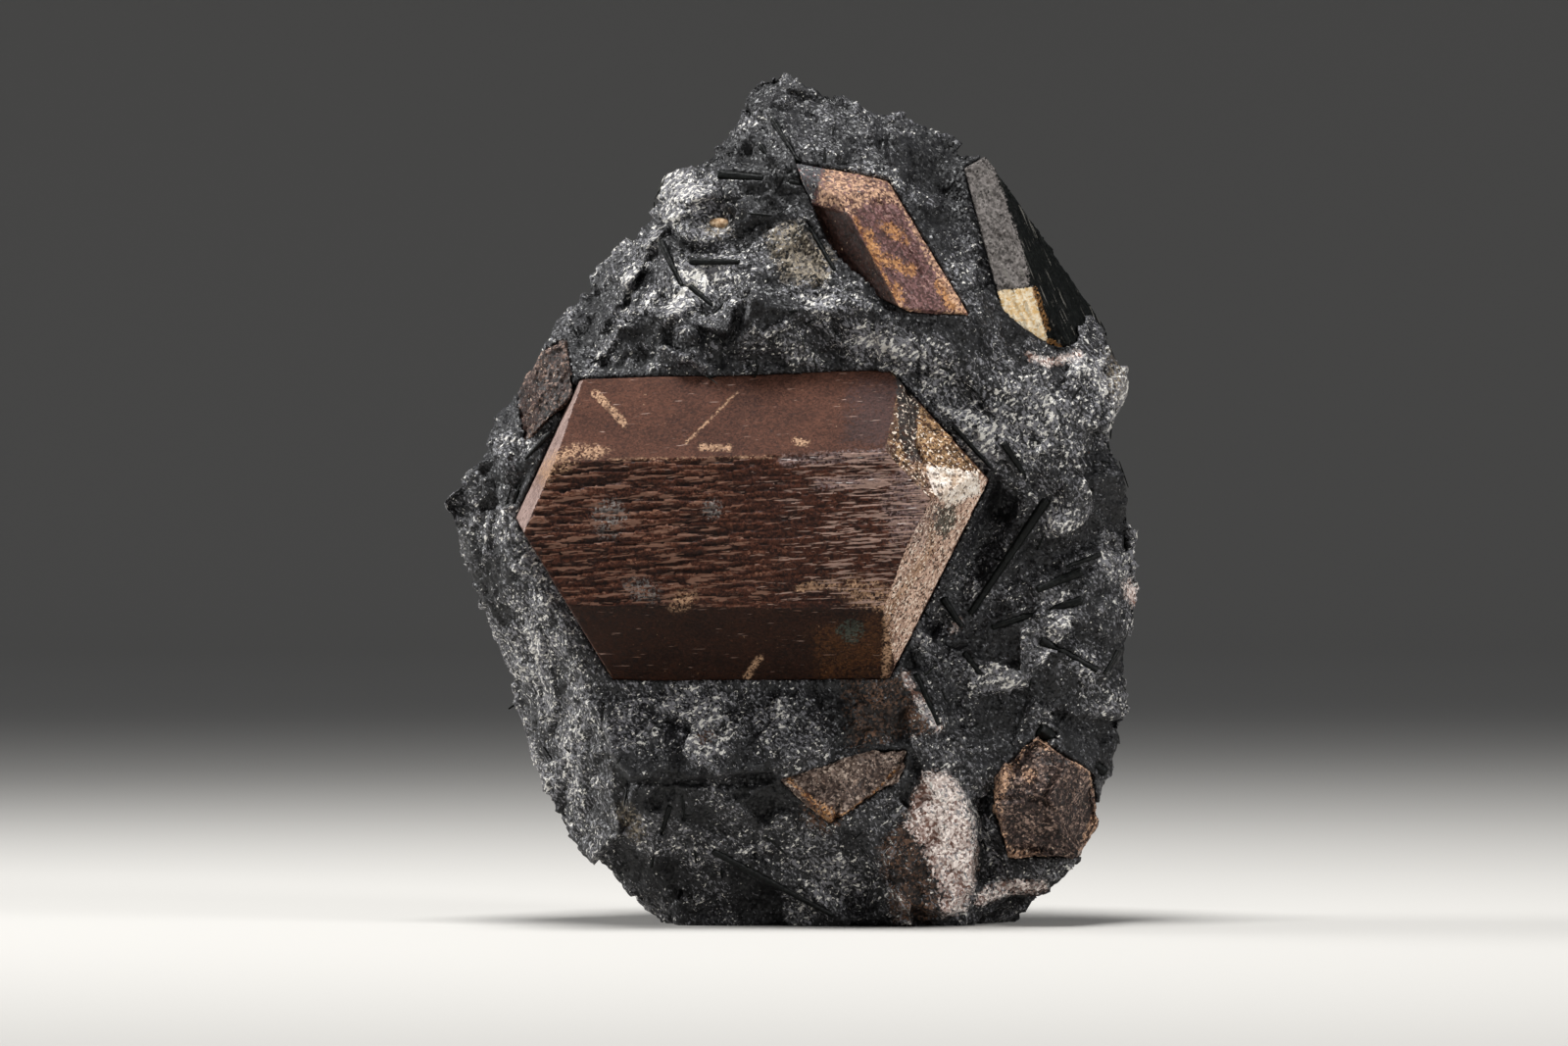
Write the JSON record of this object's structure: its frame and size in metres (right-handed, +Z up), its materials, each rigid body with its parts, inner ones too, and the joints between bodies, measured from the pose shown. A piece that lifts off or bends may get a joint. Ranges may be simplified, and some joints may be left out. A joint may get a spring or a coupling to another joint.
{
  "type": "lorenzenite in matrix",
  "caption": "Mineral hand specimen: a large brown, striated, chisel-ended lorenzenite crystal set in dark speckled rock with smaller crystals and black needles; stands on a flat break.",
  "frame": {"origin": "on the surface that the specimen stands on, under the middle of its bounding box", "axes": "+Z up, the show side with the large crystal faces -Y, +X to the right of someone who looks at it"},
  "size_m": [0.0776, 0.0476, 0.0952],
  "materials": {
    "matrix_rock": "dark grey, sugary fine-grained alkaline rock with white specks, broken and unpolished",
    "lorenzenite": "chocolate-brown crystal faces, striated along their length, dull to silky",
    "aegirine": "greenish-black fibrous prisms, glassy along their length",
    "feldspar": "cream grain, dull"
  },
  "bodies": {
    "root": {"matrix": "matrix_rock", "lorenzenite_main": "lorenzenite", "lorenzenite_upper": "lorenzenite", "lorenzenite_left": "lorenzenite", "lorenzenite_wedge": "lorenzenite", "lorenzenite_section": "lorenzenite", "aegirine_column": "aegirine", "feldspar_grain": "feldspar", "aegirine_needle_01": "aegirine", "aegirine_needle_02": "aegirine", "aegirine_needle_03": "aegirine", "aegirine_needle_04": "aegirine", "aegirine_needle_05": "aegirine", "aegirine_needle_06": "aegirine", "aegirine_needle_07": "aegirine", "aegirine_needle_08": "aegirine", "aegirine_needle_09": "aegirine", "aegirine_needle_10": "aegirine", "aegirine_needle_11": "aegirine", "aegirine_needle_12": "aegirine", "aegirine_needle_13": "aegirine", "aegirine_needle_14": "aegirine", "aegirine_needle_15": "aegirine", "aegirine_needle_16": "aegirine", "aegirine_needle_17": "aegirine", "aegirine_needle_18": "aegirine", "aegirine_needle_19": "aegirine", "aegirine_needle_20": "aegirine", "aegirine_needle_21": "aegirine", "aegirine_needle_22": "aegirine"}
  },
  "joints": []
}
